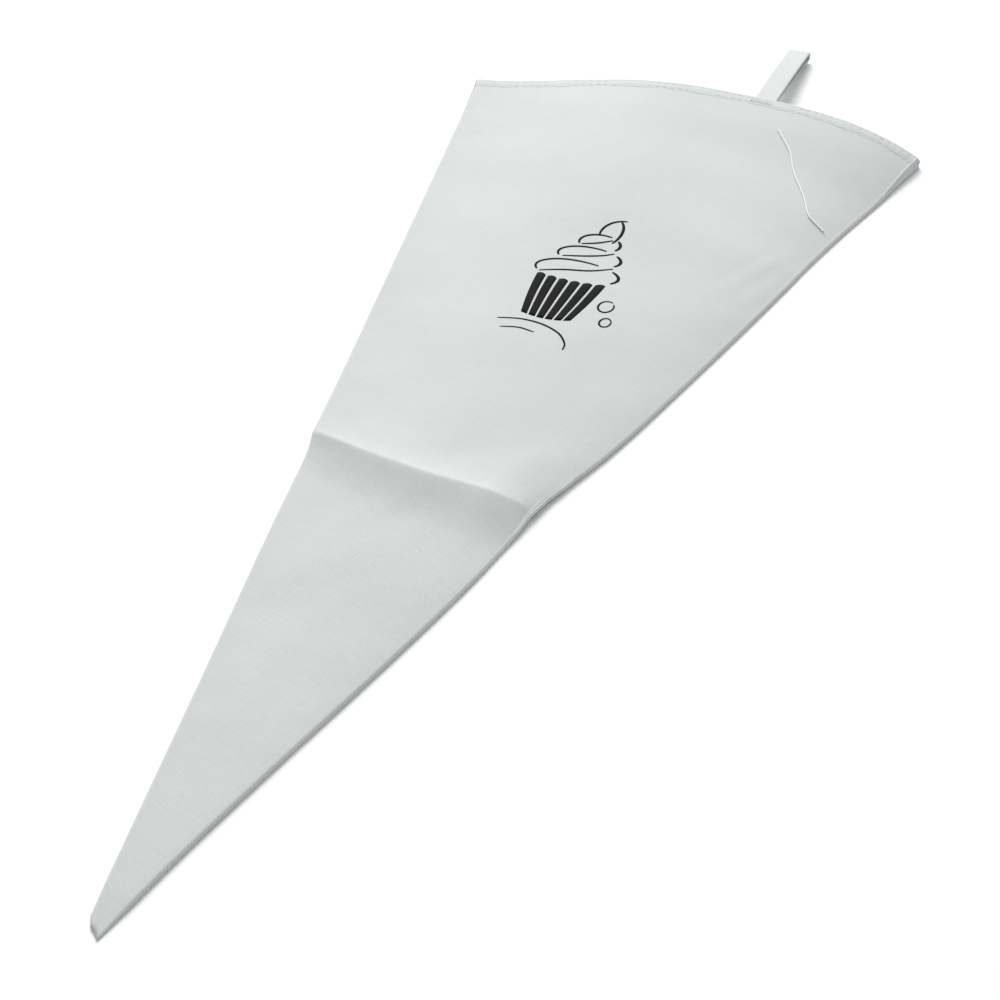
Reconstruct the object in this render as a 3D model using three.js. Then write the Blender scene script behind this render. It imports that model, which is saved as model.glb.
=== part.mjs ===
// Cotton piping bag, lying flat on its back, in millimetres.
// The bag is one cone of cotton cloth pressed flat: a front and a back layer that share a folded left
// edge and a sewn right edge. Each layer is split along its middle into two gores, so that the mouth
// can open into a square-sided cone. +Y runs from the cut tip to the mouth and +Z is up.
import * as THREE from "three";

// Driving dimensions
const SLANT = 500; // from the cone's apex to the mouth, along the cloth
const HALF_ANGLE = (10.95 * Math.PI) / 180; // of the flat bag, at the apex
const TIP_LEFT = 18.4; // the cut's distance from the apex, measured along Y, at the folded edge
const TIP_RIGHT = 11.4; // and at the sewn edge
const CLOTH = 0.7; // one layer of cotton
const HEM_DEPTH = 6.2; // the doubled band around the mouth
const HEM_THICK = 2 * CLOTH;
const GAP = 0.3; // between pieces that touch
const MOUTH_RISE = 9.4; // how far the front's middle stands above its edges at the mouth
const THREAD = 0.45; // diameter of the sewing thread
const ROW_OUTER = 1.8; // stitch rows, measured in from the mouth's edge
const ROW_INNER = 5;
const ROW_START = 0.022; // the stitch rows run between these shares of the half angle
const ROW_END = 0.86;
const HEM_SETBACK = 0.9; // the thick hem stops this far from the middle, where the cloth folds inward
const SEAM_WIDTH = 6; // the cloth turned in along the sewn edge
const SEAM_START = 30; // its distance from the apex, and the length over which it narrows to nothing
const SEAM_TAPER = 18;
const SEAM_SETBACK = 0.5; // inside the sewn edge
const LOOP_ANGLE = (3.17 * Math.PI) / 180; // where the loop hangs, from the bag's middle line
const LOOP_TURN = (2.2 * Math.PI) / 180; // how far the loop leans back from +Y towards the fold
const LOOP_WIDTH = 9.2;
const LOOP_LENGTH = 62;
const LOOP_CLEAR = 0.9; // from the mouth's curved edge to the start of the loop
const LOOP_EYE = 5.6; // clear height inside the loop
const LOOP_DROOP = 2.7; // how far the loop's end hangs below its root
const TAPE = 0.8; // thickness of the loop's tape
const TAB_LENGTH = 11; // the tape's ends, sewn inside the mouth
const TACK_LENGTH = 2.2; // the bar tack that holds them, measured along Y
const LOOSE_THREAD = 0.6; // diameter of the thread end that lies on the front
const SWELL = 2.6; // how far the front's cloth swells above its gore under the loose thread

// How finely the curves are cut into straight steps
const MOUTH_STEPS = 14;
const ROW_STEPS = 20;
const LEG_STEPS = 16;
const BEND_STEPS = 8;
const LOOSE_STEPS = 45;

// Heights of the layers along the bag's edges
const FRONT_TOP = 2 * HEM_THICK + GAP;
const FRONT_INNER = FRONT_TOP - CLOTH;
const LOOP_REACH_Y = LOOP_LENGTH * Math.cos(LOOP_TURN) + (LOOP_WIDTH / 2) * Math.sin(LOOP_TURN);
const LOOP_END_Y = SLANT * Math.cos(LOOP_ANGLE) + LOOP_REACH_Y;
const APEX_Y = -(LOOP_END_Y + TIP_RIGHT) / 2; // centres the bag and its loop on the origin

const cotton = () => new THREE.MeshStandardMaterial({ color: 0xe4e8e5, roughness: 0.95, metalness: 0 });
const thread = () => new THREE.MeshStandardMaterial({ color: 0xf1f3f1, roughness: 0.8, metalness: 0 });
const tape = () => new THREE.MeshStandardMaterial({ color: 0xdfe4e1, roughness: 0.9, metalness: 0 });

const group = new THREE.Group();

function add(name, geometry, material) {
  const mesh = new THREE.Mesh(geometry, material);
  mesh.name = name;
  mesh.position.y = APEX_Y;
  group.add(mesh);
  return mesh;
}

// The front is a low roof: zero along both edges, highest along the middle.
function rise(x, y) {
  return (MOUTH_RISE / SLANT) * (y - Math.abs(x) / Math.tan(HALF_ANGLE));
}

function liftToFront(geometry) {
  const position = geometry.attributes.position;
  for (let i = 0; i < position.count; i += 1) {
    position.setZ(i, position.getZ(i) + rise(position.getX(i), position.getY(i)));
  }
  return geometry;
}

const polar = (radius, angle) => new THREE.Vector2(radius * Math.sin(angle), radius * Math.cos(angle));

// Every gore runs from the middle line (side 0) to one edge: side -1 is the folded left edge and
// side +1 the sewn right edge. It stops half a gap short of the middle.
function goreOutline(side, mouthRadius) {
  const tipMiddle = (TIP_LEFT + TIP_RIGHT) / 2;
  const tipY = side < 0 ? TIP_LEFT : TIP_RIGHT;
  const shape = new THREE.Shape();
  shape.moveTo((side * GAP) / 2, tipMiddle);
  shape.lineTo(side * tipY * Math.tan(HALF_ANGLE), tipY);
  for (let i = MOUTH_STEPS; i > 0; i -= 1) {
    const point = polar(mouthRadius, (side * HALF_ANGLE * i) / MOUTH_STEPS);
    shape.lineTo(point.x, point.y);
  }
  shape.lineTo((side * GAP) / 2, mouthRadius);
  return shape;
}

function hemOutline(side) {
  const shape = new THREE.Shape();
  const inner = SLANT - HEM_DEPTH;
  shape.moveTo(side * HEM_SETBACK, inner);
  for (let i = 1; i <= MOUTH_STEPS; i += 1) {
    const point = polar(inner, (side * HALF_ANGLE * i) / MOUTH_STEPS);
    shape.lineTo(point.x, point.y);
  }
  for (let i = MOUTH_STEPS; i > 0; i -= 1) {
    const point = polar(SLANT, (side * HALF_ANGLE * i) / MOUTH_STEPS);
    shape.lineTo(point.x, point.y);
  }
  shape.lineTo(side * HEM_SETBACK, SLANT);
  return shape;
}

function plate(shape, z, thickness) {
  const geometry = new THREE.ExtrudeGeometry(shape, { depth: thickness, bevelEnabled: false });
  return geometry.translate(0, 0, z);
}

function roundSection(diameter, sides) {
  const shape = new THREE.Shape();
  for (let i = 0; i < sides; i += 1) {
    const angle = (2 * Math.PI * i) / sides;
    const x = (diameter / 2) * Math.cos(angle);
    const y = (diameter / 2) * Math.sin(angle);
    if (i === 0) shape.moveTo(x, y);
    else shape.lineTo(x, y);
  }
  return shape;
}

function tube(points, diameter, sides, steps) {
  const extrudePath = new THREE.CatmullRomCurve3(points);
  const section = roundSection(diameter, sides);
  return new THREE.ExtrudeGeometry(section, { steps, extrudePath, bevelEnabled: false });
}

// A row of stitches along the mouth, on the layer whose outer surface is at height z.
function stitchRow(side, inset, z, onFront) {
  const radius = SLANT - inset;
  const points = [];
  const knots = 8;
  for (let i = 0; i <= knots; i += 1) {
    const angle = side * HALF_ANGLE * (ROW_START + (ROW_END - ROW_START) * (i / knots));
    const { x, y } = polar(radius, angle);
    points.push(new THREE.Vector3(x, y, z + (onFront ? rise(x, y) : 0)));
  }
  return tube(points, THREAD, 6, ROW_STEPS);
}

// Gores, hem bands and stitch rows
const sides = { left: -1, right: 1 };
for (const [sideName, side] of Object.entries(sides)) {
  const gore = goreOutline(side, SLANT - HEM_DEPTH - GAP);
  const hem = hemOutline(side);
  const backRow = HEM_THICK + GAP + THREAD / 2;
  const frontRow = FRONT_TOP + GAP + THREAD / 2;

  add(`back_${sideName}_gore`, plate(gore, 0, CLOTH), cotton());
  add(`back_${sideName}_hem`, plate(hem, 0, HEM_THICK), cotton());
  add(`back_${sideName}_outer_stitches`, stitchRow(side, ROW_OUTER, backRow, false), thread());
  add(`back_${sideName}_inner_stitches`, stitchRow(side, ROW_INNER, backRow, false), thread());

  add(`front_${sideName}_gore`, liftToFront(plate(gore, FRONT_INNER, CLOTH)), cotton());
  add(`front_${sideName}_hem`, liftToFront(plate(hem, FRONT_TOP - HEM_THICK, HEM_THICK)), cotton());
  add(`front_${sideName}_outer_stitches`, stitchRow(side, ROW_OUTER, frontRow, true), thread());
  add(`front_${sideName}_inner_stitches`, stitchRow(side, ROW_INNER, frontRow, true), thread());
}

// The sewn right edge: the cloth turned in along it, and the thread that runs along the seam
const seamEnd = SLANT - HEM_DEPTH - 1;

function alongRightEdge(distance, inset) {
  const along = new THREE.Vector2(Math.sin(HALF_ANGLE), Math.cos(HALF_ANGLE));
  const inward = new THREE.Vector2(-Math.cos(HALF_ANGLE), Math.sin(HALF_ANGLE));
  return along.multiplyScalar(distance).addScaledVector(inward, inset);
}

const allowance = new THREE.Shape([
  alongRightEdge(SEAM_START, SEAM_SETBACK),
  alongRightEdge(seamEnd, SEAM_SETBACK),
  alongRightEdge(seamEnd, SEAM_WIDTH),
  alongRightEdge(SEAM_START + SEAM_TAPER, SEAM_WIDTH),
]);
add("side_seam_allowance", plate(allowance, CLOTH + GAP, CLOTH), cotton());

const seamLine = [TIP_RIGHT + 1, seamEnd].map((distance) => {
  const point = alongRightEdge(distance, -GAP - THREAD / 2);
  return new THREE.Vector3(point.x, point.y, HEM_THICK);
});
add("side_seam_thread", tube(seamLine, THREAD, 6, 2), thread());

// Hanging loop: a cotton tape folded in half. Its ends are sewn inside the front of the mouth.
const loopRoot = polar(SLANT, LOOP_ANGLE);
const tabHigh = FRONT_TOP - HEM_THICK - GAP;
const legMiddle = tabHigh + rise(loopRoot.x, loopRoot.y) - TAPE - GAP;

// The middle line of the tape, as (distance from the loop's root, height): out along the upper leg,
// round the end and back along the lower leg.
function loopMiddleLine() {
  const half = (LOOP_EYE + TAPE) / 2;
  const root = (TAPE + GAP) / 2;
  const bendAt = LOOP_LENGTH - half - TAPE / 2;
  const upper = [];
  const lower = [];
  for (let i = 0; i <= LEG_STEPS; i += 1) {
    const share = i / LEG_STEPS;
    const reach = LOOP_CLEAR + (bendAt - LOOP_CLEAR) * share;
    const opening = root + (half - root) * Math.sin((share * Math.PI) / 2) ** 1.5;
    const middle = legMiddle - LOOP_DROOP * share * share;
    upper.push(new THREE.Vector2(reach, middle + opening));
    lower.unshift(new THREE.Vector2(reach, middle - opening));
  }
  const bend = [];
  for (let i = 1; i < BEND_STEPS; i += 1) {
    const angle = Math.PI / 2 - (Math.PI * i) / BEND_STEPS;
    const height = legMiddle - LOOP_DROOP + half * Math.sin(angle);
    bend.push(new THREE.Vector2(bendAt + half * Math.cos(angle), height));
  }
  return [...upper, ...bend, ...lower];
}

// A closed outline of the given thickness around an open middle line
function ribbonOutline(line, thickness) {
  const outer = [];
  const inner = [];
  line.forEach((point, i) => {
    const before = line[Math.max(0, i - 1)];
    const after = line[Math.min(line.length - 1, i + 1)];
    const along = after.clone().sub(before).normalize();
    const normal = new THREE.Vector2(-along.y, along.x).multiplyScalar(thickness / 2);
    outer.push(point.clone().add(normal));
    inner.unshift(point.clone().sub(normal));
  });
  return new THREE.Shape([...outer, ...inner]);
}

// Extruding sends the outline's x to the loop's own direction and its y to Z
const loopSection = ribbonOutline(loopMiddleLine(), TAPE);
const loopTape = new THREE.ExtrudeGeometry(loopSection, { depth: LOOP_WIDTH, bevelEnabled: false });
loopTape.translate(0, 0, -LOOP_WIDTH / 2).rotateY(Math.PI / 2).rotateX(Math.PI / 2);
loopTape.rotateZ(LOOP_TURN).translate(loopRoot.x, loopRoot.y, 0);
add("hanging_loop", loopTape, tape());

const tab = new THREE.BoxGeometry(LOOP_WIDTH, TAB_LENGTH, 2 * TAPE);
tab.translate(0, SLANT - GAP - TAB_LENGTH / 2, tabHigh - TAPE).rotateZ(-LOOP_ANGLE);
add("loop_tape_ends", liftToFront(tab), tape());

const tack = new THREE.BoxGeometry(LOOP_WIDTH - 1, TACK_LENGTH, THREAD);
tack.translate(0, SLANT - (ROW_OUTER + ROW_INNER) / 2, FRONT_TOP + GAP + THREAD / 2).rotateZ(-LOOP_ANGLE);
add("loop_bar_tack", liftToFront(tack), thread());

// The loose thread end, which lies across the front near the loop. Each point is X, then Y from the apex.
const looseThreadRoute = [
  [40.9, 477.7], [43.6, 473.8], [46.3, 470.1], [48.7, 466.6], [50.7, 463.1], [52.3, 459.3],
  [53.9, 455.5], [55.7, 451.7], [57.8, 447.9], [60.0, 444.3], [62.2, 440.6], [64.3, 436.7],
  [66.2, 432.7], [67.6, 429.6], [69.3, 427.0], [71.6, 425.0], [74.0, 423.4], [76.4, 421.8],
];
const looseThreadPoints = looseThreadRoute.map(([x, y]) => {
  const share = Math.abs(x) / (y * Math.tan(HALF_ANGLE));
  const swell = SWELL * Math.sin(Math.PI * share) ** 0.5;
  return new THREE.Vector3(x, y, FRONT_TOP + rise(x, y) + swell + GAP + LOOSE_THREAD / 2);
});
add("loose_thread", tube(looseThreadPoints, LOOSE_THREAD, 8, LOOSE_STEPS), thread());

export default group;
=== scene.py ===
"""A cotton piping bag lying flat on its back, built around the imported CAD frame.

The cloth is described in bag coordinates: r is the distance from the cone's apex, and t runs across
the bag from -1 on the folded left edge to +1 on the sewn right edge. Lengths are in metres.
"""
import math

import bpy
import numpy as np
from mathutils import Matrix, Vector


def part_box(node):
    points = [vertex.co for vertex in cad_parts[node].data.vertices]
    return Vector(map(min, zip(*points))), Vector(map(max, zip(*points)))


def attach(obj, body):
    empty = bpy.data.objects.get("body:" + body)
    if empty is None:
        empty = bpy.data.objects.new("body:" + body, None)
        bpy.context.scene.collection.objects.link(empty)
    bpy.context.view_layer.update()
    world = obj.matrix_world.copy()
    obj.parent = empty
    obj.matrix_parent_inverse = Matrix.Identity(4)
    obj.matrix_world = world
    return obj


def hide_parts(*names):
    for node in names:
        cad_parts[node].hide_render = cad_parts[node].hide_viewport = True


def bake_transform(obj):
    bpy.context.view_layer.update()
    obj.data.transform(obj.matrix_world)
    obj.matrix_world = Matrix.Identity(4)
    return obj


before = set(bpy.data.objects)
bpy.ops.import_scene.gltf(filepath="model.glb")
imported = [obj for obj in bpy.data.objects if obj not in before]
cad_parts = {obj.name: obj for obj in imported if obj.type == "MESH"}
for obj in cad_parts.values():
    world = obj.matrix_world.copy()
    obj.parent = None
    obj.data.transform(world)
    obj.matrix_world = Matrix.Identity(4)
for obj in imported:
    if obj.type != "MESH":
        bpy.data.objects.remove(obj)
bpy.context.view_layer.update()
MM = 0.001

# ---------------------------------------------------------------- sizes, from the frame
SLANT = 500 * MM
HEM_SETBACK = 0.9 * MM  # the hem's highest Y is this far beside the bag's middle line
TIP_CORNER = 3.5 * MM  # what the rounding takes off the tip's corner at the fold
hem_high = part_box("back_right_hem")[1]
APEX_Y = hem_high.y - math.sqrt(SLANT ** 2 - HEM_SETBACK ** 2)
HALF_ANGLE = math.asin(hem_high.x / SLANT)
TIP_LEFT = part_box("back_left_gore")[0].y - APEX_Y + TIP_CORNER
TIP_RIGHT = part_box("back_right_gore")[0].y - APEX_Y
MOUTH_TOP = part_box("front_left_hem")[1].z
LOOP_ANGLE = math.radians(3.2)
LOOP_TURN = math.radians(2.5)  # the loop leans back from +Y towards the fold
LOOP_ROOT = Vector((SLANT * math.sin(LOOP_ANGLE), SLANT * math.cos(LOOP_ANGLE) + APEX_Y, 0))
LOOP_OUT = Vector((-math.sin(LOOP_TURN), math.cos(LOOP_TURN), 0))
LOOP_SIDE = Vector((math.cos(LOOP_TURN), math.sin(LOOP_TURN), 0))
LOOP_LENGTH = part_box("hanging_loop")[1].y - LOOP_ROOT.y + 2 * MM
LOOP_ROOT_Z = 9.6 * MM
LOOP_DROOP = 6.7 * MM  # how far the loop's eye hangs below its root

CLOTH = 0.7 * MM
ROW_OUTER = 1.8 * MM  # the two rows of hem stitches, in from the mouth's edge
ROW_INNER = 5.0 * MM
STITCH = 3.2 * MM
LEFT_ROLL = 0.82 * MM  # half the bag's thickness at its folded edge, and then at its sewn edge
RIGHT_ROLL = 0.86 * MM
CORNER_ROLL = 1.95 * MM  # the hem makes the seam's edge thicker at the mouth
FRONT_ROLL_WIDTH = 1.35  # width of a rounded edge as a share of its roll
BACK_ROLL_WIDTH = 0.8
TAPE = 0.8 * MM
TAPE_WIDTH = 9.2 * MM
WEAVE_TURN = math.radians(22.5)


def smooth(x, low, high):
    """0 below low, 1 above high, and a smooth step between."""
    s = np.clip((np.asarray(x, float) - low) / (high - low), 0, 1)
    return s * s * (3 - 2 * s)


# ---------------------------------------------------------------- camera
def make_camera():
    target = Vector((26.5 * MM, 224.8 * MM + APEX_Y, 0))
    turn, tilt, distance = math.radians(22.5), math.radians(37), 750 * MM
    level = distance * math.cos(tilt)
    offset = Vector((level * math.sin(turn), -level * math.cos(turn), distance * math.sin(tilt)))
    data = bpy.data.cameras.new("camera")
    data.lens = 84.13
    data.sensor_width = 36
    data.clip_start = 0.01
    camera = bpy.data.objects.new("camera", data)
    camera.location = target + offset
    camera.rotation_euler = (-offset).to_track_quat("-Z", "Y").to_euler()
    bpy.context.collection.objects.link(camera)
    bpy.context.scene.camera = camera


# ---------------------------------------------------------------- the shape of the cloth
# The pressed crease lifts both layers of the bag into a low tent, with its steep side towards the tip.
CREASE_LIFT = 3.2 * MM
# Each pair below holds a value at the fold and one at the seam.
CREASE_STEEP = (17.5 * MM, 20 * MM)  # length of the tent's steep side
STEEP_POWER = (2.1, 1.4)  # how hollow that side is
RIDGE = (1.8 * MM, 2.6 * MM)  # how far the front's own ridge stands above the tent
RIDGE_ABOVE = (5 * MM, 9 * MM)  # how soon that ridge fades towards the mouth
RIDGE_BELOW = (8 * MM, 15 * MM)  # and towards the tip
RIDGE_POWER = (1.1, 2.0)
CREASE_GENTLE = 22 * MM  # fading length of the tent's side towards the mouth
CREASE_REACH = 43 * MM  # half the crease's length across the bag
DOME = MOUTH_TOP - 2.7 * MM  # height of the puffed front above its own edges, at the mouth
PUFF_POWER = 1.9

# How far the edges stray towards +X from straight lines: (distance from the apex, shift), in millimetres
LEFT_EDGE = (
    (0, 0.55), (110, 1.0), (205, 1.25), (222, 1.6), (228, 1.9), (235, 1.6), (243, 1.4), (260, 1.15),
    (340, 0.95), (463, 1.1), (505, 0.95),
)
RIGHT_EDGE = (
    (0, 0.9), (22, 0.65), (45, 0.0), (88, 0.0), (126, 0.45), (167, 0.5), (188, 0.05), (204, -0.85),
    (214, -1.5), (221, -2.6), (226, -2.95), (232, -3.0), (240, -1.8), (250, -0.6), (262, 0.5), (276, 1.1),
    (310, 1.4), (350, 1.3), (388, 0.7), (405, 0.2), (436, 0.3), (467, 1.3), (485, 1.1), (505, 1.2),
)


def follow(knots, r):
    """A smooth curve through (distance, value) knots in millimetres."""
    table = np.array(knots) * MM
    at, value = table.T
    slope = np.gradient(value, at)
    i = np.clip(np.searchsorted(at, r) - 1, 0, len(at) - 2)
    width = at[i + 1] - at[i]
    s = np.clip((r - at[i]) / width, 0, 1)
    rising = s * s * (3 - 2 * s)
    start = slope[i] * width * s * (1 - s) ** 2
    end = slope[i + 1] * width * s * s * (1 - s)
    return value[i] * (1 - rising) + value[i + 1] * rising + start - end


def crease_y(x):
    """Where the crease crosses the bag, for each x: it falls from the fold, then runs level."""
    share = np.clip((np.asarray(x, float) / CREASE_REACH + 1) / 2, 0, 1)
    left = 11.0 * MM * np.clip((0.6 - share) / 0.6, 0, 1) ** 1.7
    middle = 2.0 * MM * np.cos(np.clip((share - 0.34) / 0.58, -1, 1) * np.pi / 2)
    right = 1.6 * MM * np.clip((share - 0.75) / 0.2, 0, 1) ** 2
    return 218.2 * MM + left + middle + right


def soft_abs(d, width=0.6 * MM):
    return np.sqrt(d * d + width * width) - width


def between(pair, t):
    """From the first value at the fold to the second at the seam."""
    return pair[0] + (pair[1] - pair[0]) * (t + 1) / 2


def tent(d, t):
    """The lift that both layers share, at distance d from the crease, as a share of CREASE_LIFT."""
    steep = np.clip(1 - soft_abs(d) / between(CREASE_STEEP, t), 0, 1) ** between(STEEP_POWER, t)
    gentle = np.exp(-soft_abs(d) / CREASE_GENTLE)
    sag = 0.45 * (1 - np.minimum(np.abs(t), 1) ** 4) + 0.62 * smooth(t, 0.6, 1)
    return np.where(d < 0, steep, gentle) * (1 - sag)


def dome(t):
    """Cross-section of the puffed front: steeper towards the fold, fuller towards the seam."""
    left = np.cos(np.clip(np.pi * t / 1.92, -np.pi / 2, 0)) ** 1.6
    right = 1 - np.clip(t, 0, 1) ** 3.8
    return np.where(t < 0, left, right)


def puff(r, d, inner):
    """How far the front stands above a flat layer: it swells from the crease to the mouth."""
    crest = 220 * MM
    base = DOME * dome(inner) * (np.minimum(r, crest) / SLANT) ** PUFF_POWER
    here = DOME * dome(inner) * (np.maximum(r, crest) / SLANT) ** PUFF_POWER
    ridge = between(RIDGE, inner) * (1 - inner ** 8)
    fade = (np.abs(d) / between(RIDGE_BELOW, inner)) ** between(RIDGE_POWER, inner)
    above = here + ridge * np.exp(-soft_abs(d) / between(RIDGE_ABOVE, inner))
    below = base + ridge * np.exp(-fade)
    return np.where(d < 0, below, above)


# The front's slow unevenness comes from a cloth simulation on a coarse grid of the front.
SAG_RADII = np.linspace(45 * MM, SLANT, 104)
SAG_COLUMNS = np.linspace(-1, 1, 37)
SAG_RMS = 0.18 * MM
SAG_LIMIT = 0.5 * MM
sag_grid = np.zeros((len(SAG_RADII), len(SAG_COLUMNS)))

RIPPLE_AT = (63.8 * MM, 382.5 * MM)  # X, then Y from the apex
RIPPLE_TURN = math.radians(66.6)
RIPPLE_HEIGHT = 0.2 * MM
RIPPLE_WAVE = 10 * MM


def ripple(x, y):
    """One small diagonal ripple that the side seam pulls into the front."""
    dx, dy = x - RIPPLE_AT[0], y - RIPPLE_AT[1]
    along = dx * math.cos(RIPPLE_TURN) + dy * math.sin(RIPPLE_TURN)
    across = dy * math.cos(RIPPLE_TURN) - dx * math.sin(RIPPLE_TURN)
    fade = np.exp(-((along / (20 * MM)) ** 2) - (across / (9 * MM)) ** 2)
    return RIPPLE_HEIGHT * fade * np.sin(2 * np.pi * across / RIPPLE_WAVE)


def spline_weights(share):
    """The four weights of a cubic B-spline, for the grid points around a place."""
    rest = 1 - share
    near = (4 - 6 * share ** 2 + 3 * share ** 3) / 6
    return rest ** 3 / 6, near, 1 - near - rest ** 3 / 6 - share ** 3 / 6, share ** 3 / 6


def settled(r, t):
    """How far the simulated front moved at (r, t), as a smooth function of both."""
    size = np.array(sag_grid.shape)
    row = np.clip((r - SAG_RADII[0]) / (SAG_RADII[1] - SAG_RADII[0]), 0, size[0] - 1.001)
    column = np.clip((t + 1) / 2, 0, 1) * (size[1] - 1.001)
    i, j = row.astype(int), column.astype(int)
    total = 0
    for di, row_weight in zip((-1, 0, 1, 2), spline_weights(row - i)):
        for dj, column_weight in zip((-1, 0, 1, 2), spline_weights(column - j)):
            value = sag_grid[np.clip(i + di, 0, size[0] - 1), np.clip(j + dj, 0, size[1] - 1)]
            total = total + row_weight * column_weight * value
    return total


def tip_y(t):
    """The oblique cut of the tip, whose corner at the folded edge is rounded."""
    rounded = (TIP_LEFT - TIP_RIGHT - 4 * MM) * np.clip((-t - 0.45) / 0.55, 0, 1) ** 1.6
    return TIP_RIGHT + 2 * MM * (1 - t) + rounded


# Turns round an edge, from the middle of its height to its top. The lips go on past the middle at the
# seam, one inside the other, and keep it shut as the bag opens.
ROLL_TURNS = (0, 0.31, 0.63, 0.94, 1.26)
FRONT_LIP_TURNS = (-1.9, -1.25, -0.6)
BACK_LIP_TURNS = (-1.2, -0.8, -0.4)
EDGE = len(FRONT_LIP_TURNS)  # the column at half the height of an edge


def columns(r, count, front):
    """Across the bag, at radius r: t, share of the roll's turn, roll radius and place between the rolls."""
    half = HALF_ANGLE * r
    thickest = 0.17 * half  # the tip is pressed thin
    left = min(LEFT_ROLL, thickest)
    thicker = float(smooth(r, 455 * MM, 497 * MM))
    right = min(RIGHT_ROLL + (CORNER_ROLL - RIGHT_ROLL) * thicker, thickest)
    own = FRONT_ROLL_WIDTH if front else BACK_ROLL_WIDTH
    lip = 0.9 * BACK_ROLL_WIDTH if front else FRONT_ROLL_WIDTH
    lip_turns = FRONT_LIP_TURNS if front else BACK_LIP_TURNS
    tighter = 1 - 0.62 * thicker

    def inset(phi, roll):
        return (own if phi >= 0 else lip) * roll * (1 - math.cos(phi)) / half

    hidden = 0 if front else 0.15 * MM / half  # at the seam the front's edge covers the back's
    rows = []
    for phi in ROLL_TURNS:
        rows.append((-1 + inset(phi, left), math.sin(phi), left, -1.0))
    start, end = -1 + own * left / half, 1 - own * right * tighter / half
    for even in np.linspace(0, 1, count):
        share = 0.4 * even + 0.3 * (1 - math.cos(math.pi * even))  # closer together at both edges
        radius = left + (right - left) * share
        rows.append((start + (end - start) * share, 1.0, radius, 2 * share - 1))
    for phi in reversed((*lip_turns, *ROLL_TURNS)):
        rows.append((1 - inset(phi, right * tighter) - hidden, math.sin(phi), right, 1.0))
    return np.array(rows)


def layer_points(radii, count, front):
    """Outer surface of the front or back layer, as an array [row, column, xyz]."""
    points = []
    for radius in radii:
        t, turn, roll, inner = columns(radius, count, front).T
        near_tip = np.clip(1 - (radius - TIP_RIGHT) / (60 * MM), 0, 1) ** 1.5
        cosine = np.cos(HALF_ANGLE * t)
        y = radius * cosine + (tip_y(t) - TIP_RIGHT) * near_tip
        r = y / cosine
        x = y * np.tan(HALF_ANGLE * t)
        d = y - crease_y(x)
        shift = follow(LEFT_EDGE, r) * (1 - t) / 2 + follow(RIGHT_EDGE, r) * (1 + t) / 2
        lift = CREASE_LIFT * tent(d, t)
        if front:
            clear = smooth(r, 50 * MM, 110 * MM) * (1 - smooth(r, 478 * MM, 492 * MM))
            uneven = (settled(r, t) + ripple(x, y)) * turn * (1 - inner ** 6) * clear
            z = roll + roll * turn + puff(r, d, inner) + uneven
            corner = smooth(r, 470 * MM, SLANT) * np.clip((t - 0.6) / 0.4, 0, 1) ** 2
            shift = shift - 0.6 * MM * corner * turn
        else:
            # the hem holds the back up a little at the mouth
            z = roll - roll * turn + 0.75 * MM * smooth(r, 463 * MM, 491 * MM)
            # the back is dented less than the front at the crease, so the seam parts less as the bag opens
            shift = shift + 1.0 * MM * np.exp(-(((r - 229 * MM) / (13 * MM)) ** 2)) * (1 + t) / 2
        points.append(np.stack([x + shift, y + APEX_Y, z + lift], -1))
    return np.array(points)


def grid_normals(points):
    along = np.gradient(points, axis=0)
    across = np.gradient(points, axis=1)
    normal = np.cross(across, along)
    return normal / np.maximum(np.linalg.norm(normal, axis=-1, keepdims=True), 1e-12)


def cloth_uv(points):
    """Bag coordinates, so that the weave runs on unbroken from piece to piece."""
    return points[..., :2] - np.array([0, APEX_Y])


# ---------------------------------------------------------------- meshes
def new_mesh(name, vertices, faces, uvs=None):
    mesh = bpy.data.meshes.new(name)
    mesh.from_pydata([tuple(v) for v in vertices], [], [tuple(f) for f in faces])
    mesh.validate()
    mesh.polygons.foreach_set("use_smooth", [True] * len(mesh.polygons))
    if uvs is not None:
        layer = mesh.uv_layers.new(name="cloth")
        loops = np.zeros(len(mesh.loops), np.int32)
        mesh.loops.foreach_get("vertex_index", loops)
        layer.data.foreach_set("uv", np.asarray(uvs, np.float32)[loops].ravel())
    obj = bpy.data.objects.new(name, mesh)
    bpy.context.collection.objects.link(obj)
    return obj


def shell(name, outer, inner, uv_outer):
    """A closed sheet between two grids of points, with walls along its four borders."""
    rows, cols = outer.shape[:2]
    size = rows * cols
    vertices = np.concatenate([outer.reshape(-1, 3), inner.reshape(-1, 3)])
    uvs = np.concatenate([uv_outer.reshape(-1, 2)] * 2)
    index = np.arange(size).reshape(rows, cols)
    a, b = index[:-1, :-1].ravel(), index[:-1, 1:].ravel()
    c, d = index[1:, 1:].ravel(), index[1:, :-1].ravel()
    faces = [*zip(a, b, c, d), *zip(a + size, d + size, c + size, b + size)]
    ring = [*index[0, :-1], *index[:-1, -1], *index[-1, :0:-1], *index[:0:-1, 0]]
    for k, here in enumerate(ring):
        after = ring[(k + 1) % len(ring)]
        faces.append((here, here + size, after + size, after))
    return new_mesh(name, vertices, faces, uvs)


def swept(name, rings):
    """A solid of cloth swept through rings of points [ring, point, xyz], with its two ends capped."""
    count, size = rings.shape[:2]
    faces = []
    for i in range(count - 1):
        for j in range(size):
            k = (j + 1) % size
            faces.append((i * size + j, i * size + k, (i + 1) * size + k, (i + 1) * size + j))
    faces.append(tuple(range(size - 1, -1, -1)))
    faces.append(tuple((count - 1) * size + j for j in range(size)))
    vertices = rings.reshape(-1, 3)
    return new_mesh(name, vertices, faces, cloth_uv(vertices))


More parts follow.
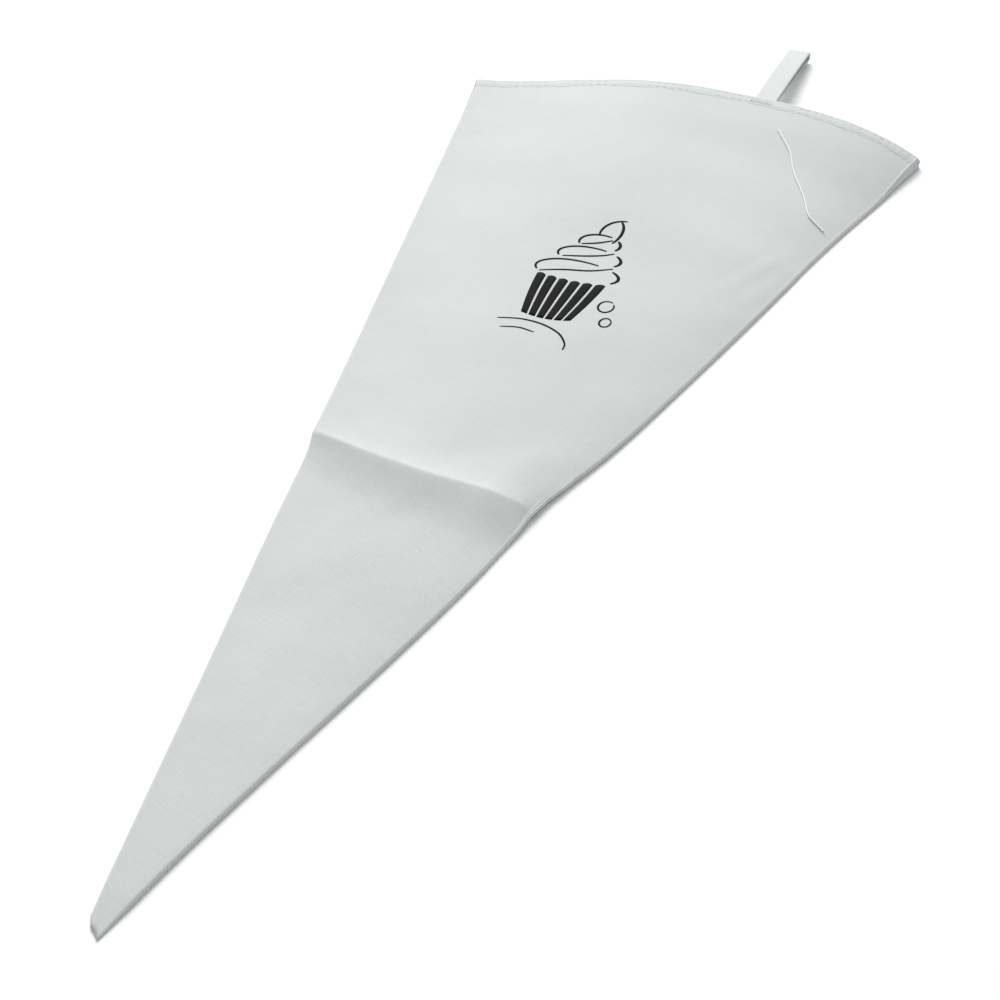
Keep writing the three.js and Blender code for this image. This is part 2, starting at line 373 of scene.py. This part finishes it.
def capsules(name, places, radius, sides=8):
    """Many short rounded threads in one mesh. Each place is (start, end, up)."""
    profile = [(0.04, 0.55), (0.12, 0.85), (0.3, 1.0), (0.7, 1.0), (0.88, 0.85), (0.96, 0.55)]
    vertices, faces = [], []
    for start, end, up in places:
        start, end, up = (np.asarray(v, float) for v in (start, end, up))
        along = end - start
        side = np.cross(along, up)
        side = side / np.linalg.norm(side)
        up = np.cross(side, along)
        up = up / np.linalg.norm(up)
        first = len(vertices)
        for share, width in profile:
            sag = -0.35 * radius * (2 * share - 1) ** 4
            centre = start + along * share + up * sag
            for k in range(sides):
                angle = 2 * math.pi * k / sides
                vertices.append(centre + radius * width * (side * math.cos(angle) + up * math.sin(angle)))
        for i in range(len(profile) - 1):
            for k in range(sides):
                n = (k + 1) % sides
                low, high = first + i * sides, first + (i + 1) * sides
                faces.append((low + k, high + k, high + n, low + n))
        faces.append(tuple(first + k for k in range(sides)))
        last = first + (len(profile) - 1) * sides
        faces.append(tuple(last + sides - 1 - k for k in range(sides)))
    return new_mesh(name, vertices, faces)


# ---------------------------------------------------------------- cloth simulation
def simulate_front():
    """Let a coarse copy of the front buckle as cloth between its pinned edges; returns its rise in z."""
    scale = 10  # Blender's cloth is steadier on metre-sized pieces
    points = []
    for radius in SAG_RADII:
        x = radius * np.sin(HALF_ANGLE * SAG_COLUMNS)
        y = radius * np.cos(HALF_ANGLE * SAG_COLUMNS)
        d = y - crease_y(x)
        z = puff(radius, d, SAG_COLUMNS) + CREASE_LIFT * tent(d, SAG_COLUMNS)
        points.append(np.stack([x, y, z], -1))
    points = np.array(points) * scale
    rows, cols = points.shape[:2]
    index = np.arange(rows * cols).reshape(rows, cols)
    a, b, c, d = (part.ravel() for part in (index[:-1, :-1], index[:-1, 1:], index[1:, 1:], index[1:, :-1]))
    obj = new_mesh("settling_front", points.reshape(-1, 3), [*zip(a, b, c, d)])
    pins = obj.vertex_groups.new(name="pins")
    crest = np.abs(points[..., 1] / scale - crease_y(points[..., 0] / scale)) < 4 * MM
    crest[0] = crest[-1] = crest[:, 0] = crest[:, -1] = True
    pins.add([int(k) for k in index[crest]], 1.0, "REPLACE")
    cloth = obj.modifiers.new("cloth", "CLOTH")
    cloth.settings.quality = 6
    cloth.settings.mass = 0.15
    cloth.settings.vertex_group_mass = "pins"
    cloth.settings.tension_stiffness = 20
    cloth.settings.compression_stiffness = 20
    cloth.settings.shear_stiffness = 12
    cloth.settings.bending_stiffness = 6
    cloth.settings.shrink_min = -0.015
    cloth.settings.shrink_max = -0.015
    cloth.settings.effector_weights.gravity = 0
    cloth.collision_settings.use_collision = False
    frames = 30
    cloth.point_cache.frame_end = frames
    scene = bpy.context.scene
    for number in range(1, frames + 1):
        scene.frame_set(number)
    graph = bpy.context.evaluated_depsgraph_get()
    moved = np.zeros(rows * cols * 3, np.float32)
    obj.evaluated_get(graph).data.vertices.foreach_get("co", moved)
    scene.frame_set(1)
    bpy.data.objects.remove(obj)
    return (moved.reshape(rows, cols, 3)[..., 2] - points[..., 2]) / scale


def settle_front():
    """Fill the sag grid from the simulation, kept small and free of any lasting rise or fall."""
    rise = simulate_front()
    slow = rise.copy()
    for _ in range(60):
        padded = np.pad(slow, 1, mode="edge")
        slow = (padded[:-2, 1:-1] + padded[2:, 1:-1] + padded[1:-1, :-2] + padded[1:-1, 2:]) / 4
    rise = rise - slow
    rise = rise * (SAG_RMS / max(rise.std(), 1e-9))
    sag_grid[:] = np.clip(rise, -SAG_LIMIT, SAG_LIMIT)


# ---------------------------------------------------------------- materials
def node_maker(material):
    material.use_nodes = True
    tree = material.node_tree
    shader = tree.nodes["Principled BSDF"]

    def make(kind, inputs=None, **settings):
        node = tree.nodes.new(kind)
        for key, value in settings.items():
            setattr(node, key, value)
        for key, value in (inputs or {}).items():
            if isinstance(value, bpy.types.NodeSocket):
                tree.links.new(value, node.inputs[key])
            else:
                node.inputs[key].default_value = value
        return node

    return tree, shader, make


def woven_material(name, color, pitch, bump, weave_shade=0.05):
    """Plain-woven cotton: warp and weft in relief, slubs, a little unevenness of colour, a slow mottle of
    dirt and painted shade in small creases, and painted shade in the weave's hollows.
    """
    material = bpy.data.materials.new(name)
    tree, shader, make = node_maker(material)
    coordinates = make("ShaderNodeTexCoord").outputs["UV"]
    turned = make("ShaderNodeMapping", {"Vector": coordinates, "Rotation": (0, 0, WEAVE_TURN)}).outputs[0]
    scale = math.pi / pitch / 10  # one thread for each half wave

    def threads(direction):
        return make(
            "ShaderNodeTexWave",
            {"Vector": turned, "Scale": scale, "Distortion": 0.5, "Detail": 1.0, "Detail Scale": 0.6},
            bands_direction=direction,
        ).outputs["Fac"]

    checker = make("ShaderNodeTexChecker", {"Vector": turned, "Scale": 1 / pitch}).outputs["Fac"]
    weave = make(
        "ShaderNodeMix", {0: checker, 2: threads("X"), 3: threads("Y")}, data_type="FLOAT"
    ).outputs[0]

    def streaks(scale_x, scale_y, seed):
        stretched = make(
            "ShaderNodeMapping",
            {"Vector": turned, "Scale": (scale_x, scale_y, 1), "Location": (seed, seed, 0)},
        ).outputs[0]
        return make("ShaderNodeTexNoise", {"Vector": stretched, "Scale": 1.0, "Detail": 3.0}).outputs["Fac"]

    warp_streaks = streaks(90, 1300, 3.0)
    weft_streaks = streaks(1300, 90, 7.0)
    # A slow mottle in the colour: dirt, and painted shade in small creases.
    dirt_and_crease_shade = make("ShaderNodeTexNoise", {"Vector": coordinates, "Scale": 14.0, "Detail": 4.0}).outputs["Fac"]
    fuzz = make("ShaderNodeTexNoise", {"Vector": coordinates, "Scale": 1500.0, "Detail": 2.0}).outputs["Fac"]

    def scaled(value, amount, offset=0.0):
        return make(
            "ShaderNodeMath", {0: value, 1: amount, 2: offset}, operation="MULTIPLY_ADD"
        ).outputs[0]

    def added(a, b):
        return make("ShaderNodeMath", {0: a, 1: b}, operation="ADD").outputs[0]

    shade = added(scaled(warp_streaks, 0.26, 0.37), scaled(weft_streaks, 0.16))
    shade = added(shade, scaled(dirt_and_crease_shade, 0.30, -0.23))
    # The weave darkens the colour where its relief is low: painted shade in the weave's hollows.
    shade = added(shade, scaled(weave, weave_shade, -weave_shade / 2))
    ramp = make("ShaderNodeValToRGB", {"Fac": shade})
    ramp.color_ramp.elements[0].position = 0.30
    ramp.color_ramp.elements[1].position = 0.70
    ramp.color_ramp.elements[0].color = (*[c * 0.90 for c in color], 1)
    ramp.color_ramp.elements[1].color = (*[min(1, c * 1.10) for c in color], 1)
    tree.links.new(ramp.outputs["Color"], shader.inputs["Base Color"])

    height = added(weave, scaled(fuzz, 0.35))
    height = added(height, scaled(added(warp_streaks, weft_streaks), 0.8))
    relief = make("ShaderNodeBump", {"Height": height, "Strength": 1.0, "Distance": bump})
    tree.links.new(relief.outputs["Normal"], shader.inputs["Normal"])
    shader.inputs["Roughness"].default_value = 0.93
    shader.inputs["Sheen Weight"].default_value = 0.12
    shader.inputs["Sheen Roughness"].default_value = 0.6
    shader.inputs["Specular IOR Level"].default_value = 0.15
    return material


def thread_material(name, color):
    """Twisted cotton sewing thread."""
    twist = 0.35 * MM
    material = bpy.data.materials.new(name)
    tree, shader, make = node_maker(material)
    where = make("ShaderNodeTexCoord").outputs["Object"]
    ply = make(
        "ShaderNodeTexWave",
        {"Vector": where, "Scale": math.pi / twist / 10, "Distortion": 1.0, "Detail": 1.0},
        bands_direction="DIAGONAL",
    ).outputs["Fac"]
    fibres = make("ShaderNodeTexNoise", {"Vector": where, "Scale": 3000.0, "Detail": 2.0}).outputs["Fac"]
    # The colour darkens with the ply's twist where its relief is low: painted shade between the plies.
    shade = make("ShaderNodeMath", {0: ply, 1: 0.4, 2: 0.3}, operation="MULTIPLY_ADD").outputs[0]
    ramp = make("ShaderNodeValToRGB", {"Fac": shade})
    ramp.color_ramp.elements[0].color = (*[c * 0.86 for c in color], 1)
    ramp.color_ramp.elements[1].color = (*[min(1, c * 1.06) for c in color], 1)
    tree.links.new(ramp.outputs["Color"], shader.inputs["Base Color"])
    height = make("ShaderNodeMath", {0: ply, 1: fibres}, operation="ADD").outputs[0]
    relief = make("ShaderNodeBump", {"Height": height, "Strength": 0.6, "Distance": 0.05 * MM})
    tree.links.new(relief.outputs["Normal"], shader.inputs["Normal"])
    shader.inputs["Roughness"].default_value = 0.75
    shader.inputs["Sheen Weight"].default_value = 0.2
    return material


def ink_material():
    """Black screen ink that has sunk into the weave, a little worn on its high threads."""
    material = bpy.data.materials.new("black_ink")
    tree, shader, make = node_maker(material)
    where = make("ShaderNodeTexCoord").outputs["Object"]
    grain = make("ShaderNodeTexNoise", {"Vector": where, "Scale": 1600.0, "Detail": 3.0}).outputs["Fac"]
    ramp = make("ShaderNodeValToRGB", {"Fac": grain})
    ramp.color_ramp.elements[0].position = 0.35
    ramp.color_ramp.elements[1].position = 0.80
    ramp.color_ramp.elements[0].color = (0.003, 0.003, 0.004, 1)
    ramp.color_ramp.elements[1].color = (0.012, 0.013, 0.016, 1)
    tree.links.new(ramp.outputs["Color"], shader.inputs["Base Color"])
    relief = make("ShaderNodeBump", {"Height": grain, "Strength": 0.5, "Distance": 0.05 * MM})
    tree.links.new(relief.outputs["Normal"], shader.inputs["Normal"])
    shader.inputs["Roughness"].default_value = 0.8
    shader.inputs["Specular IOR Level"].default_value = 0.08
    return material


# ---------------------------------------------------------------- cloth layers
def layer_radii():
    """Rows from tip to mouth, close together at the crease and at the mouth."""
    low = TIP_RIGHT / math.cos(HALF_ANGLE)
    bands = (
        np.linspace(low, 0.18, 84, endpoint=False), np.linspace(0.18, 0.208, 20, endpoint=False),
        np.linspace(0.208, 0.242, 68, endpoint=False), np.linspace(0.242, 0.27, 18, endpoint=False),
        np.linspace(0.27, 0.494, 112, endpoint=False), np.linspace(0.494, 0.4988, 6),
    )
    return np.concatenate(bands)


def make_layer(front, material):
    name = "front_cloth" if front else "back_cloth"
    radii = layer_radii()
    outer = layer_points(radii, 96, front)
    normal = grid_normals(outer) * (1 if front else -1)
    thickness = np.minimum(CLOTH, 0.14 * HALF_ANGLE * radii)  # the tip is pressed thin
    inner = outer - normal * thickness[:, None, None]
    uv = cloth_uv(outer)
    if front:
        obj = shell(name, outer, inner, uv)
    else:
        obj = shell(name, outer[:, ::-1], inner[:, ::-1], uv[:, ::-1])
    obj.data.materials.append(material)
    return obj


# ---------------------------------------------------------------- hem
def along_mouth(front, inset):
    """Points and outward normals along the mouth, at a distance in from its edge, without the lips."""
    step = 0.05 * MM
    radius = SLANT - inset
    points = layer_points([radius - step, radius, radius + step], 300, front)
    normal = grid_normals(points)[1] * (1 if front else -1)
    return points[1][:-EDGE], normal[:-EDGE]


def travelled(points):
    """Distance along a line of points, from its start."""
    return np.concatenate([[0], np.cumsum(np.linalg.norm(np.diff(points, axis=0), axis=1))])


# The hem's section: distance in from the mouth's edge, and height above the layer's outer surface,
# in millimetres. It runs from the inner edge over the outside to the mouth and back inside the bag.
HEM_SECTION = (
    (6.75, -0.34), (6.50, -0.10), (6.15, 0.05), (5.65, 0.10), (5.20, 0.10), (5.00, 0.10), (4.80, 0.11),
    (4.35, 0.17), (3.40, 0.20), (2.45, 0.18), (2.00, 0.13), (1.80, 0.12), (1.60, 0.13), (1.15, 0.18),
    (0.60, 0.17), (0.22, 0.08), (0.03, -0.15), (0.00, -0.50), (0.08, -0.90), (0.35, -1.22), (0.90, -1.42),
    (3.40, -1.52), (5.90, -1.46), (6.30, -1.32), (6.40, -1.10), (6.20, -0.92),
)


def make_hem(front, material):
    arc = travelled(along_mouth(front, HEM_SECTION[0][0] * MM)[0])
    near_edge = np.minimum(arc, arc[-1] - arc)
    inner_share = 0.3 + 0.7 * smooth(near_edge, 5 * MM, 32 * MM)  # thin where the layers lie close
    pucker = 0.035 * np.cos(2 * np.pi * arc / STITCH)
    slow = 0.04 * np.sin(arc * 210) + 0.03 * np.sin(arc * 523 + 1)
    rings = []
    for inset, height in HEM_SECTION:
        points, normal = along_mouth(front, inset * MM)
        offset = np.full(len(arc), height)
        if height > -0.12 and inset > 0.15:
            offset = offset + pucker
        if height > 0:
            offset = offset + slow
        offset = np.where(offset < -0.4, offset * inner_share, offset) * MM
        rings.append(points + normal * offset[:, None])
    rings = np.array(rings).transpose(1, 0, 2)
    if front:
        rings = rings[:, ::-1]
    obj = swept("front_hem" if front else "back_hem", rings)
    obj.data.materials.append(material)
    return obj


def make_stitch_row(name, front, inset, material):
    points, normal = along_mouth(front, inset)
    arc = travelled(points)
    rng = np.random.default_rng(7 if inset == ROW_OUTER else 11)
    places = []
    margin = 4 * MM
    count = int((arc[-1] - 2 * margin) / STITCH)
    for k in range(count):
        start = margin + (k + 0.12) * STITCH + rng.normal(0, 0.05) * MM
        end = margin + (k + 0.90) * STITCH + rng.normal(0, 0.05) * MM
        ends = []
        for s in (start, end):
            point = np.array([np.interp(s, arc, points[:, i]) for i in range(3)])
            up = np.array([np.interp(s, arc, normal[:, i]) for i in range(3)])
            ends.append(point + up * (0.03 + rng.normal(0, 0.01)) * MM)
        places.append((ends[0], ends[1], up))
    obj = capsules(name, places, 0.18 * MM)
    obj.data.materials.append(material)
    return obj


def make_seam(cotton, thread):
    """The turned-in cloth along the sewn edge, and the stitches that show in the seam's groove."""
    radii = np.linspace(45 * MM, 486 * MM, 220)
    edge = layer_points(radii, 12, True)[:, -1 - EDGE]
    inward = np.array([-math.cos(HALF_ANGLE), math.sin(HALF_ANGLE), 0])
    outward = -inward
    # the turned-in cloth's section: distance in from the edge and height, in millimetres
    section = (
        (0.7, 0.1), (0.9, 0.62), (3.0, 0.72), (5.4, 0.62), (6.1, 0.40),
        (6.3, 0.0), (6.1, -0.40), (5.4, -0.55), (3.0, -0.6), (0.9, -0.5),
    )
    flatness = 0.55
    rings = []
    for i, point in enumerate(edge):
        wave = 0.18 * math.sin(radii[i] * 900) + 0.12 * math.sin(radii[i] * 2300)
        taper = min(1, (radii[i] - 30 * MM) / (60 * MM))
        ring = []
        for d, h in section:
            reach = (d + (wave if d > 4 else 0)) * taper * MM
            ring.append(point + inward * reach + np.array([0, 0, h * flatness * MM]))
        rings.append(ring)
    allowance = swept("side_seam_turning", np.array(rings))
    allowance.data.materials.append(cotton)

    places = []
    first, last, pitch = 22 * MM, 492 * MM, 3.0 * MM
    for k in range(int((last - first) / pitch)):
        r = np.array([first + (k + 0.1) * pitch, first + (k + 0.85) * pitch])
        ends = layer_points(r, 12, True)[:, -1 - EDGE] - outward * 0.12 * MM
        places.append((ends[0], ends[1], outward))
    stitches = capsules("side_seam_stitches", places, 0.20 * MM, sides=6)
    stitches.data.materials.append(thread)
    return allowance, stitches


# ---------------------------------------------------------------- hanging loop
def loop_line():
    """Middle line of the tape, from its end inside the mouth, round the eye and back: (reach, height)."""
    half = 1.6 * MM  # half the eye's height
    gap = 0.46 * MM  # half the distance between the two ends of the tape, at the hem
    bend_at = LOOP_LENGTH - half - TAPE / 2

    def middle(s):
        return LOOP_ROOT_Z - LOOP_DROOP * s ** 1.1

    def spread(s):
        return gap + (half - gap) * np.sin(s * np.pi / 2) ** 1.5

    inside = np.linspace(-10.5 * MM, 0, 8, endpoint=False)
    share = np.linspace(0, 1, 30)
    upper = [(d, LOOP_ROOT_Z + gap) for d in inside] + [(bend_at * s, middle(s) + spread(s)) for s in share]
    lower = [(d, LOOP_ROOT_Z - gap) for d in inside] + [(bend_at * s, middle(s) - spread(s)) for s in share]
    bend = [
        (bend_at + half * math.cos(a), middle(1) + half * math.sin(a))
        for a in np.linspace(math.pi / 2, -math.pi / 2, 13)[1:-1]
    ]
    return np.array(upper + bend + lower[::-1])


def make_loop(material):
    line = loop_line()
    along = np.gradient(line, axis=0)
    along = along / np.linalg.norm(along, axis=1, keepdims=True)
    normal = np.stack([-along[:, 1], along[:, 0]], -1)
    travel = travelled(line)
    # across the tape: place as a share of its half width, and thickness with its bound edges
    across = np.array([-1, -0.97, -0.9, -0.78, -0.5, -0.25, 0, 0.25, 0.5, 0.78, 0.9, 0.97, 1])
    thick = np.array([0.25, 0.7, 1.05, 0.98, 0.94, 0.94, 0.94, 0.94, 0.94, 0.98, 1.05, 0.7, 0.25])
    out, side, up = np.array(LOOP_OUT), np.array(LOOP_SIDE), np.array([0, 0, 1.0])
    upper_face, lower_face = [], []
    for (reach, height), (out_part, up_part) in zip(line, normal):
        centre = np.array(LOOP_ROOT) + out * reach + up * height
        proud = (out * out_part + up * up_part) * TAPE / 2
        places = [centre + side * TAPE_WIDTH / 2 * share for share in across]
        upper_face.append([place + proud * w for place, w in zip(places, thick)])
        lower_face.append([place - proud * w for place, w in zip(places, thick)])
    uv = np.stack(np.meshgrid(travel, across * TAPE_WIDTH / 2, indexing="ij"), -1)
    obj = shell("hanging_loop_tape", np.array(upper_face), np.array(lower_face), uv)
    obj.data.materials.append(material)
    return obj


def make_bar_tack(material):
    middle = SLANT * math.sin(LOOP_ANGLE)
    places = []
    turns = 15
    for k in range(turns):
        x = middle + (k / (turns - 1) - 0.5) * (TAPE_WIDTH - 1.0 * MM)
        ends = []
        for inset, dx in ((ROW_OUTER + 0.1 * MM, 0.12 * MM), (ROW_INNER - 0.1 * MM, -0.12 * MM)):
            points, normal = along_mouth(True, inset)
            j = int(np.argmin(np.abs(points[:, 0] - x - dx)))
            ends.append(points[j] + normal[j] * 0.20 * MM)
        places.append((ends[0], ends[1], normal[j]))
    obj = capsules("loop_tack_stitches", places, 0.22 * MM, sides=6)
    obj.data.materials.append(material)
    return obj


# ---------------------------------------------------------------- the front's surface, for what lies on it
TABLE_RADII = np.linspace(280 * MM, 499 * MM, 220)


def height_on_front(x, y, table):
    """Outer height of the front at (x, y), from the two nearest rows of a table of its points."""
    r = math.hypot(x, y - APEX_Y)
    spacing = (TABLE_RADII[-1] - TABLE_RADII[0]) / (len(TABLE_RADII) - 1)
    share = np.clip((r - TABLE_RADII[0]) / spacing, 0, len(TABLE_RADII) - 1.001)
    low = int(share)
    part = share - low
    heights = [np.interp(x, row[:, 0], row[:, 2]) for row in (table[low], table[low + 1])]
    return heights[0] * (1 - part) + heights[1] * part


# The loose thread's route over the front. Each point is X, then Y from the apex, in millimetres.
LOOSE_THREAD = (
    (40.9, 477.7), (43.6, 473.8), (46.3, 470.1), (48.7, 466.6), (50.7, 463.1), (52.3, 459.3),
    (53.9, 455.5), (55.7, 451.7), (57.8, 447.9), (60.0, 444.3), (62.2, 440.6), (64.3, 436.7),
    (66.2, 432.7), (67.6, 429.6), (69.3, 427.0), (71.6, 425.0), (74.0, 423.4), (76.4, 421.8),
)


def make_loose_thread(material, table):
    diameter = 0.6 * MM
    points = []
    for x, y in LOOSE_THREAD:
        x, y = x * MM, y * MM + APEX_Y
        points.append((x, y, height_on_front(x, y, table) + diameter * 0.7))
    curve = bpy.data.curves.new("loose_thread_end", "CURVE")
    curve.dimensions = "3D"
    curve.bevel_depth = diameter / 2
    curve.bevel_resolution = 3
    curve.resolution_u = 6
    spline = curve.splines.new("BEZIER")
    spline.bezier_points.add(len(points) - 1)
    for knot, point in zip(spline.bezier_points, points):
        knot.co = point
        knot.handle_left_type = knot.handle_right_type = "AUTO"
    obj = bpy.data.objects.new("loose_thread_end", curve)
    bpy.context.collection.objects.link(obj)
    curve.materials.append(material)
    return obj


# ---------------------------------------------------------------- printed emblem
EMBLEM_X = 3.0 * MM
EMBLEM_Y = 347.0 * MM
EMBLEM_SCALE = 1.06


def arc_points(cx, cy, rx, ry, start, end, count=24):
    angles = np.radians(np.linspace(start, end, count))
    return [(cx + rx * math.cos(a), cy + ry * math.sin(a)) for a in angles]


def emblem_strokes():
    """A cupcake with a piped swirl, as open lines: (points, width). Units are millimetres."""
    strokes = []
    # three piped tiers, each a rounded roll that overlaps the one below
    tiers = ((0, 7.0, 15.0, 6.6), (0.6, 17.5, 11.4, 6.0), (0.9, 27.0, 7.4, 5.4))
    for cx, cy, rx, ry in tiers:
        strokes.append((arc_points(cx, cy, rx, ry, 205, 68), 1.0))
        strokes.append((arc_points(cx, cy, rx, ry, -28, 40), 1.15))
    strokes.append((arc_points(5.5, 35.0, 7.0, 8.5, 200, 92, 16), 1.0))
    strokes.append((arc_points(1.0, 34.5, 5.0, 9.2, -40, 62, 16), 1.1))
    strokes.append(([(-12.6, 3.4), (-4.5, 6.4), (4.0, 9.0), (11.0, 13.2)], 0.9))
    strokes.append(([(-8.4, 14.8), (-1.5, 17.2), (4.5, 20.0), (8.0, 22.6)], 0.9))
    strokes.append(([(-5.0, 24.6), (0.0, 27.0), (4.6, 30.4)], 0.9))
    # a flourish below the cup
    flourish = [(-15.0, -28.0), (-7.0, -26.4), (1.0, -27.2), (8.0, -30.6), (12.0, -35.5), (12.6, -39.0)]
    strokes.append((flourish, 0.8))
    strokes.append(([(-12.0, -33.0), (-6.0, -31.6), (0.0, -32.6)], 0.7))
    # icing drops beside the cup
    strokes.append((arc_points(17.0, -10.0, 2.6, 3.4, 60, 400, 20), 0.75))
    strokes.append((arc_points(20.0, -19.0, 1.9, 2.6, 30, 390, 18), 0.7))
    return strokes


def smooth_line(points, step=0.8):
    """A Catmull-Rom line through the points, sampled about every step millimetres."""
    p = np.array(points, float)
    p = np.vstack([2 * p[0] - p[1], p, 2 * p[-1] - p[-2]])
    out = []
    for a, b, c, d in zip(p, p[1:], p[2:], p[3:]):
        count = max(2, int(np.linalg.norm(c - b) / step))
        for s in np.linspace(0, 1, count, endpoint=False):
            square = (2 * a - 5 * b + 4 * c - d) * s ** 2
            cube = (3 * b - a - 3 * c + d) * s ** 3
            out.append(0.5 * (2 * b + (c - a) * s + square + cube))
    out.append(p[-2])
    return np.array(out)


def make_emblem(material, table):
    vertices, faces = [], []
    stand = 0.05 * MM

    def place(x, y):
        px, py = EMBLEM_X + EMBLEM_SCALE * x * MM, EMBLEM_Y + APEX_Y + EMBLEM_SCALE * y * MM
        return px, py, height_on_front(px, py, table) + stand

    def grid(rows):
        first = len(vertices)
        count = len(rows[0])
        for row in rows:
            vertices.extend(place(x, y) for x, y in row)
        for i in range(len(rows) - 1):
            for j in range(count - 1):
                k = first + i * count + j
                faces.append((k, k + 1, k + count + 1, k + count))

    for points, width in emblem_strokes():
        line = smooth_line(points)
        along = np.gradient(line, axis=0)
        along = along / np.linalg.norm(along, axis=1, keepdims=True)
        side = np.stack([-along[:, 1], along[:, 0]], -1)
        share = np.linspace(0, 1, len(line))
        half = width / 2 * (0.55 + 0.45 * np.sin(np.pi * np.clip(share, 0, 1)) ** 0.5)
        offsets = (-1, -0.33, 0.33, 1)
        grid([[tuple(p + s * h * k) for k in offsets] for p, s, h in zip(line, side, half)])

    # the pleated cup, filled, with pale pleat lines left between its panels
    panels = 6
    gap = 0.035
    for k in range(panels):
        left, right = k / panels, (k + 1) / panels
        rows = []
        for v in np.linspace(0, 1, 14):
            half_width = 9.2 + 3.6 * v + 0.5 * math.sin(3 * v)
            y = -22.0 + 23.5 * v
            row = []
            for u in np.linspace(left + gap / 2, right - gap / 2, 5):
                x = (2 * u - 1) * half_width
                scallop = (1.3 if v == 1 else 0) * math.sin(math.pi * (u - left) / (right - left))
                sag = -1.8 * (1 - (2 * u - 1) ** 2)
                row.append((x, y + sag + scallop))
            rows.append(row)
        grid(rows)
    obj = new_mesh("printed_emblem", vertices, faces)
    solid = obj.modifiers.new("ink_thickness", "SOLIDIFY")
    solid.thickness = 0.06 * MM
    solid.offset = 0
    apply_modifiers(obj)
    obj.data.materials.append(material)
    return obj


def apply_modifiers(obj):
    graph = bpy.context.evaluated_depsgraph_get()
    mesh = bpy.data.meshes.new_from_object(obj.evaluated_get(graph))
    obj.modifiers.clear()
    obj.data = mesh


# ---------------------------------------------------------------- floor and light
def make_stage():
    bpy.ops.mesh.primitive_plane_add(size=6, location=(0, 0, -0.02 * MM))
    floor = bpy.context.object
    floor.name = "floor"
    material = bpy.data.materials.new("pale_floor")
    material.use_nodes = True
    shader = material.node_tree.nodes["Principled BSDF"]
    shader.inputs["Base Color"].default_value = (0.98, 0.98, 0.98, 1)
    shader.inputs["Roughness"].default_value = 0.9
    shader.inputs["Specular IOR Level"].default_value = 0.1
    floor.data.materials.append(material)


def make_light():
    scene = bpy.context.scene
    world = bpy.data.worlds.new("studio")
    scene.world = world
    world.use_nodes = True
    background = world.node_tree.nodes["Background"]
    background.inputs["Color"].default_value = (0.985, 1.0, 1.0, 1)
    background.inputs["Strength"].default_value = 0.47
    towards_key = Vector((-0.38, 0.70, 0.60)).normalized()
    distance = 3.2
    softbox = bpy.data.lights.new("softbox", "AREA")
    softbox.shape = "SQUARE"
    softbox.size = 2.1
    softbox.energy = 4.25 * math.pi * distance ** 2
    lamp = bpy.data.objects.new("softbox", softbox)
    lamp.location = Vector((0, 80 * MM, 0)) + towards_key * distance
    lamp.rotation_euler = (-towards_key).to_track_quat("-Z", "Y").to_euler()
    bpy.context.collection.objects.link(lamp)
    scene.view_settings.view_transform = "Standard"


# ---------------------------------------------------------------- the bag
make_camera()
settle_front()
front_table = layer_points(TABLE_RADII, 96, True)
thread_white = thread_material("white_thread", (0.72, 0.74, 0.74))
# The loose thread is the same white thread as the stitching, made lighter: painted light against the shade
# on its turned lower end.
loose = make_loose_thread(thread_material("loose_thread_painted_light", (0.88, 0.90, 0.90)), front_table)
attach(loose, "front_right")
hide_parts("loose_thread")

cotton = woven_material("cotton_cloth", (0.605, 0.632, 0.626), pitch=0.55 * MM, bump=0.03 * MM)
tape = woven_material("cotton_tape", (0.63, 0.655, 0.65), pitch=0.7 * MM, bump=0.06 * MM, weave_shade=0.10)


def bend_at_middle(obj):
    """Bake the object's placement into its mesh."""
    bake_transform(obj)


for layer in ("front", "back"):
    is_front = layer == "front"
    cloth = make_layer(is_front, cotton)
    hem = make_hem(is_front, cotton)
    rows = {
        "outer": make_stitch_row(f"{layer}_hem_outer_row", is_front, ROW_OUTER, thread_white),
        "inner": make_stitch_row(f"{layer}_hem_inner_row", is_front, ROW_INNER, thread_white),
    }
    for obj in (cloth, hem, *rows.values()):
        bend_at_middle(obj)
    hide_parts(f"{layer}_left_gore", f"{layer}_right_gore")
    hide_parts(f"{layer}_left_hem", f"{layer}_right_hem")
    for row_name, row in rows.items():
        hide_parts(f"{layer}_left_{row_name}_stitches", f"{layer}_right_{row_name}_stitches")

turning, seam_stitches = make_seam(cotton, thread_white)
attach(turning, "back_right")
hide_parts("side_seam_allowance")
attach(seam_stitches, "back_right")
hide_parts("side_seam_thread")

loop = make_loop(tape)
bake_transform(loop)
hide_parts("hanging_loop", "loop_tape_ends")

tack = make_bar_tack(thread_white)
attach(tack, "front_right")
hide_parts("loop_bar_tack")

emblem = make_emblem(ink_material(), front_table)
bend_at_middle(emblem)

make_stage()
make_light()
